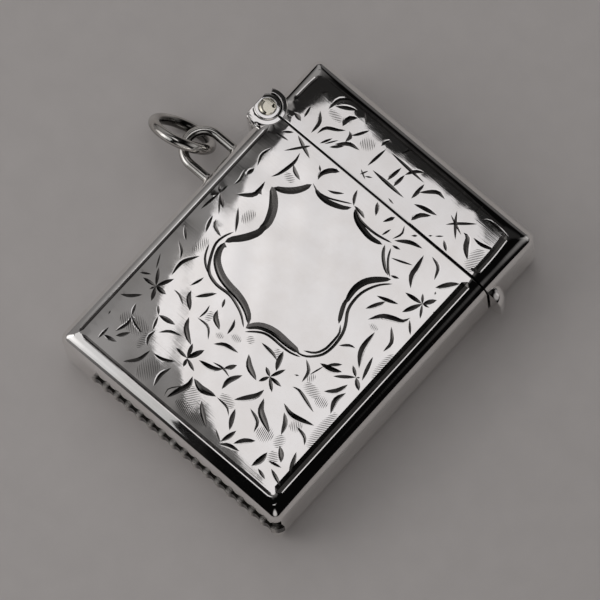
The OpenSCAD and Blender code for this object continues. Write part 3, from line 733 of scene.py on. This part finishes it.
def arith(tree, operation, a, b=0.0):
    """A sum, product or the like of two values."""
    return node(tree, "ShaderNodeMath", {0: a, 1: b}, operation=operation).outputs[0]


def upward(tree):
    """How far a surface faces up when the case is shut, from -1 to 1."""
    normal = node(tree, "ShaderNodeTexCoord").outputs["Normal"]
    return node(tree, "ShaderNodeSeparateXYZ", {"Vector": normal}).outputs["Z"]


def crack_painted_shade(tree, place):
    """Painted shade: 1 in the seam of the lid and, on the hinge's front end, in the crack round its barrel, 0
    elsewhere.
    """
    split = node(tree, "ShaderNodeSeparateXYZ", {"Vector": place})
    up = arith(tree, "SUBTRACT", split.outputs["Y"], RIM_Y * MM)
    out = arith(tree, "SUBTRACT", split.outputs["X"], HINGE_X * MM)
    seam = fade(tree, arith(tree, "ABSOLUTE", up), CRACK_SHADE[1] * MM, CRACK_SHADE[0] * MM)
    squares = arith(tree, "ADD", arith(tree, "MULTIPLY", up, up), arith(tree, "MULTIPLY", out, out))
    radius = arith(tree, "SQRT", squares)
    beside_barrel = fade(tree, out, BARREL_R * MM, (BARREL_R + SEAM_START) * MM)
    seam = arith(tree, "MULTIPLY", seam, beside_barrel)
    within_wall = fade(tree, split.outputs["X"], (CASE_W / 2 + SEAM_END) * MM, CASE_W / 2 * MM)
    seam = arith(tree, "MULTIPLY", seam, within_wall)
    gap = arith(tree, "ABSOLUTE", arith(tree, "SUBTRACT", radius, BARREL_R * MM))
    crack = fade(tree, gap, CRACK_SHADE[1] * MM, CRACK_SHADE[0] * MM)
    crack = arith(tree, "MULTIPLY", crack, fade(tree, up, 0.0, BARREL_SHADE_FROM * MM))
    crack = arith(tree, "MULTIPLY", crack, fade(tree, upward(tree), *BARREL_FACING))
    return arith(tree, "MAXIMUM", seam, crack)


def flute_painted_shade(tree, place):
    """Painted shade: 1 between the striker's ribs, 0 on them."""
    along = node(tree, "ShaderNodeSeparateXYZ", {"Vector": place}).outputs["X"]
    from_flute = arith(tree, "PINGPONG", along, RIB_PITCH / 2 * MM)
    return fade(tree, from_flute, FLUTE_SHADE[0] * MM, FLUTE_SHADE[1] * MM)


def wire_painted_shade(middle):
    """Painted shade for a wire that is bent round a place: on its underside and on its inner side."""
    def shade_mask(tree, place):
        below = arith(tree, "MULTIPLY", fade(tree, upward(tree), *WIRE_UNSHADED), WIRE_SHADE)
        inward = node(tree, "ShaderNodeVectorMath", {0: Vector(middle) * MM, 1: place}, operation="SUBTRACT")
        inward = node(tree, "ShaderNodeVectorMath", {0: inward.outputs["Vector"]}, operation="NORMALIZE")
        normal = node(tree, "ShaderNodeTexCoord").outputs["Normal"]
        facing = node(tree, "ShaderNodeVectorMath", {0: inward.outputs["Vector"], 1: normal},
                      operation="DOT_PRODUCT")
        inside = arith(tree, "MULTIPLY", fade(tree, facing.outputs["Value"], *INSIDE_UNSHADED), INSIDE_SHADE)
        return arith(tree, "MAXIMUM", below, inside)
    return shade_mask


def silver_material(name, tint, roughness, tarnish, scratch, shade_of=crack_painted_shade):
    """Polished silver with faint cloudy tarnish, wipe marks and fine scratches, and painted shade in its
    corners.
    """
    material, tree, shader = new_material(name)
    place = node(tree, "ShaderNodeTexCoord").outputs["Object"]
    cloud = node(tree, "ShaderNodeTexNoise", {"Vector": place, **CLOUDS})
    haze = node(tree, "ShaderNodeTexNoise", {"Vector": place, **HAZE})
    ramp = node(tree, "ShaderNodeValToRGB", {"Fac": cloud.outputs["Fac"]})
    for element, position, tone in zip(ramp.color_ramp.elements, CLOUD_EDGES, (tarnish, tint)):
        element.position = position
        element.color = (*tone, 1)
    # The colour mixes in painted shade where the mask marks a crack, a flute or a wire's shaded side
    colour = node(tree, "ShaderNodeMixRGB", {"Fac": shade_of(tree, place), "Color1": ramp.outputs["Color"],
                                             "Color2": (*PAINTED_SHADE, 1)})
    tree.links.new(colour.outputs["Color"], shader.inputs["Base Color"])
    shader.inputs["Metallic"].default_value = 1.0
    smooth, dull = HAZE_ROUGHNESS
    wiped = spread(tree, haze.outputs["Fac"], roughness * smooth, roughness * dull)
    tree.links.new(wiped, shader.inputs["Roughness"])
    lengthwise, across, deep = SCRATCH_FINENESS
    height = 0.0
    for angle, scale in SCRATCHES:
        turned = node(tree, "ShaderNodeMapping", {"Vector": place, "Rotation": (0, 0, angle),
                                                  "Scale": (lengthwise * scale, across * scale, deep)})
        marks = node(tree, "ShaderNodeTexNoise", {"Vector": turned.outputs["Vector"], **SCRATCH_NOISE})
        height = arith(tree, "ADD", height, marks.outputs["Fac"])
    bump = node(tree, "ShaderNodeBump", {"Height": height, "Strength": scratch, "Distance": SCRATCH_DEPTH})
    tree.links.new(bump.outputs["Normal"], shader.inputs["Normal"])
    return material


def floor_material():
    """Pale grey paper with a faint mottle."""
    material, tree, shader = new_material("floor_paper")
    place = node(tree, "ShaderNodeTexCoord").outputs["Object"]
    mottle = node(tree, "ShaderNodeTexNoise", {"Vector": place, **FLOOR_MOTTLE})
    colour = node(tree, "ShaderNodeValToRGB", {"Fac": mottle.outputs["Fac"]})
    for element, tone in zip(colour.color_ramp.elements, FLOOR_TONES):
        element.color = tone
    tree.links.new(colour.outputs["Color"], shader.inputs["Base Color"])
    shader.inputs["Roughness"].default_value = FLOOR_ROUGHNESS
    return material


def domed_end(node_name, body, material):
    """A copy of a piece of the hinge whose front end is filed to a flat dome."""
    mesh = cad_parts[node_name].data.copy()
    work = bmesh.new()
    work.from_mesh(mesh)
    bmesh.ops.remove_doubles(work, verts=work.verts, dist=WELD * MM)
    top = [f for f in work.faces if f.normal.z > END_FACING and f.calc_center_median().z > END_FROM_Z * MM]
    edges = list({e for f in top for e in f.edges})
    bmesh.ops.subdivide_edges(work, edges=edges, cuts=END_CUTS, use_grid_fill=True)
    for vert in work.verts:
        if vert.co.z > END_FROM_Z * MM:
            away = Vector((vert.co.x / MM - END_TOP[0], vert.co.y / MM - END_TOP[1]))
            vert.co.z -= (away.x ** 2 / (2 * END_DOME_R[0]) + away.y ** 2 / (2 * END_DOME_R[1])) * MM
    work.to_mesh(mesh)
    work.free()
    mesh.shade_smooth()
    mesh.set_sharp_from_angle(angle=END_SHARP_ANGLE)
    mesh.materials.clear()
    mesh.materials.append(material)
    obj = bpy.data.objects.new(node_name + "_filed", mesh)
    bpy.context.scene.collection.objects.link(obj)
    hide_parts(node_name)
    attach(obj, body)


# Materials: tint, roughness, tint of the tarnish and strength of the scratches
SILVER = silver_material("silver", (0.94, 0.93, 0.92), 0.04, (0.89, 0.87, 0.85), 0.06)
FACET = silver_material("bright_facet", (0.92, 0.91, 0.90), 0.08, (0.84, 0.82, 0.80), 0.1)
# The cuts' sides are near black: partly oxide in the cuts, partly painted shade
CUT = silver_material("engraved_cut", (0.15, 0.145, 0.14), 0.20, (0.08, 0.077, 0.075), 0.3)
# The inner facets of the shaded cuts get this darker grey: painted shade
SHADE = silver_material("painted_shade_facet", (0.34, 0.33, 0.32), 0.25, (0.22, 0.21, 0.205), 0.3)
WIRE_LOOK = ((0.88, 0.87, 0.84), 0.12, (0.62, 0.60, 0.57), 0.2)
# The loop and the ring carry painted shade on their undersides and on the inner sides of their bends
LOOP = silver_material("loop_wire", *WIRE_LOOK, wire_painted_shade(LOOP_MIDDLE))
RING = silver_material("ring_wire", *WIRE_LOOK, wire_painted_shade(RING_MIDDLE))
STRIKER = silver_material("striker_metal", (0.75, 0.73, 0.70), 0.28, (0.50, 0.48, 0.46), 0.5, flute_painted_shade)
PIN = silver_material("pin_metal", (0.80, 0.77, 0.66), 0.08, (0.74, 0.70, 0.58), 0.1)

NODE_MATERIALS = {"striker_band": STRIKER, "hinge_pin": PIN, "suspension_loop": LOOP, "jump_ring": RING}
for name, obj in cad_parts.items():
    obj.material_slots[0].material = NODE_MATERIALS.get(name, SILVER)

FACE_MATERIALS = {"silver": SILVER, "cut": CUT, "facet": FACET, "shade": SHADE}
for front_name, node_name, end, body in (("body_front_engraved", "body_front", -1, "case"),
                                         ("lid_front_engraved", "lid_front", 1, "lid")):
    front = build_front(front_name, end, FACE_MATERIALS)
    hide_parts(node_name)
    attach(front, body)

domed_end("body_knuckle_front", "case", SILVER)
domed_end("body_bearer", "case", SILVER)
domed_end("lid_bearer", "lid", SILVER)
domed_end("hinge_pin", "case", PIN)

floor_corners = [Vector((x * FLOOR_HALF, y * FLOOR_HALF, FLOOR_Z)) * MM
                 for x, y in ((-1, -1), (1, -1), (1, 1), (-1, 1))]
floor_mesh = bpy.data.meshes.new("floor")
floor_mesh.from_pydata(floor_corners, [], [(0, 1, 2, 3)])
floor_mesh.materials.append(floor_material())
floor = bpy.data.objects.new("floor", floor_mesh)
bpy.context.scene.collection.objects.link(floor)

# Camera: the photograph's direction, roll, distance and framing
VIEW_AZIMUTH = math.radians(52.1)
VIEW_HEIGHT = math.radians(73.0)
VIEW_ROLL = math.radians(-10.7)
VIEW_DISTANCE = 1000.0
VIEW_AIM = (0.06, -0.14)
AIM_Z = 4.0
FOCAL_PIXELS = 8504.0
IMAGE_PIXELS = 600.0
SENSOR = 36.0
CLIP_NEAR = 10.0
CLIP_FAR = 20000.0

back = Vector((math.sin(VIEW_AZIMUTH) * math.cos(VIEW_HEIGHT),
               -math.cos(VIEW_AZIMUTH) * math.cos(VIEW_HEIGHT),
               math.sin(VIEW_HEIGHT)))
sideways = Vector((math.cos(VIEW_AZIMUTH), math.sin(VIEW_AZIMUTH), 0))
upright = back.cross(sideways)
right = math.cos(VIEW_ROLL) * sideways + math.sin(VIEW_ROLL) * upright
up = -math.sin(VIEW_ROLL) * sideways + math.cos(VIEW_ROLL) * upright
aim = VIEW_AIM[0] * right + VIEW_AIM[1] * up + Vector((0, 0, AIM_Z))
camera_data = bpy.data.cameras.new("camera")
camera_data.sensor_width = SENSOR
camera_data.lens = FOCAL_PIXELS / IMAGE_PIXELS * SENSOR
camera_data.clip_start = CLIP_NEAR * MM
camera_data.clip_end = CLIP_FAR * MM
camera = bpy.data.objects.new("camera", camera_data)
bpy.context.scene.collection.objects.link(camera)
camera_turn = Matrix((right, up, back)).transposed().to_4x4()
camera.matrix_world = Matrix.Translation((aim + VIEW_DISTANCE * back) * MM) @ camera_turn
bpy.context.scene.camera = camera


def panel(name, toward, distance, size, power, shape="RECTANGLE", turn=0.0, seen=True, colour=(1, 1, 1)):
    """A soft light panel, in the given direction from the case, facing it, and turned from the case's X."""
    data = bpy.data.lights.new(name, "AREA")
    data.shape = shape
    data.size = size[0] * MM
    data.size_y = size[1] * MM
    data.energy = power
    data.color = colour
    obj = bpy.data.objects.new(name, data)
    bpy.context.scene.collection.objects.link(obj)
    toward = Vector(toward).normalized()
    along = (Vector((1, 0, 0)) - toward.x * toward).normalized()
    along.rotate(Quaternion(toward, turn))
    turned = Matrix((along, toward.cross(along), toward)).transposed().to_4x4()
    obj.matrix_world = Matrix.Translation(toward * distance * MM) @ turned
    obj.visible_camera = False
    obj.visible_glossy = seen


# The panel that the face mirrors, a card for the corners, and the light on the floor, which the metal doesn't
# show
panel("mirror_panel", toward=(-0.127, 0.152, 0.980), distance=393, size=(110, 188), power=0.0335,
      shape="ELLIPSE", turn=0.805, colour=(1.0, 0.975, 0.985))
panel("corner_card", toward=(-0.47, -0.66, 0.585), distance=150, size=(90, 120), power=0.016)
panel("floor_light", toward=(-0.25, 0.15, 0.95), distance=1000, size=(1600, 1600), power=4.45, seen=False)

# What the polished metal mirrors outside the panels: a direction, how far along it the glow starts and
# is full, and its brightness there
SKY_COLOUR = (1.0, 0.97, 0.96, 1)
SKY_BASE = 0.002
SKY = (
    ((-0.10, 0.02, 0.99), 0.956, 0.985, 0.10),
    ((-0.22, 0.42, 0.88), 0.90, 0.97, 0.014),
    ((0.62, -0.62, 0.48), 0.85, 0.98, 0.5),
    ((-0.65, -0.60, 0.46), 0.88, 0.98, 0.8),
    ((0.65, 0.60, 0.46), 0.88, 0.98, 0.3),
    ((-0.70, 0.52, 0.48), 0.86, 0.97, 0.25),
    ((0.36, 0.91, 0.20), 0.90, 0.98, 0.25),
    ((-0.25, 0.96, 0.13), 0.97, 0.995, 0.08),
)
# The glow on the left stays away from the lid's side of the sky, between these two places along Y
LEFT_GLOW = ((-1.0, 0.0, 0.0), 0.22, 0.28, 0.18)
LEFT_GLOW_END = (0.215, 0.17)

world = bpy.data.worlds.new("studio")
world.use_nodes = True
sky = world.node_tree
sky_place = node(sky, "ShaderNodeTexCoord").outputs["Generated"]


def glow_part(direction, start, full, brightness):
    """The light of one glow of the sky."""
    near = node(sky, "ShaderNodeVectorMath", {0: sky_place, 1: direction}, operation="DOT_PRODUCT")
    return arith(sky, "MULTIPLY", fade(sky, near.outputs["Value"], start, full), brightness)


sky_y = node(sky, "ShaderNodeSeparateXYZ", {"Vector": sky_place}).outputs["Y"]
left_glow = arith(sky, "MULTIPLY", glow_part(*LEFT_GLOW), fade(sky, sky_y, *LEFT_GLOW_END))
glow = arith(sky, "ADD", SKY_BASE, left_glow)
for spot in SKY:
    glow = arith(sky, "ADD", glow, glow_part(*spot))
sky.links.new(glow, sky.nodes["Background"].inputs["Strength"])
sky.nodes["Background"].inputs["Color"].default_value = SKY_COLOUR
bpy.context.scene.world = world
bpy.context.scene.view_settings.view_transform = "Standard"
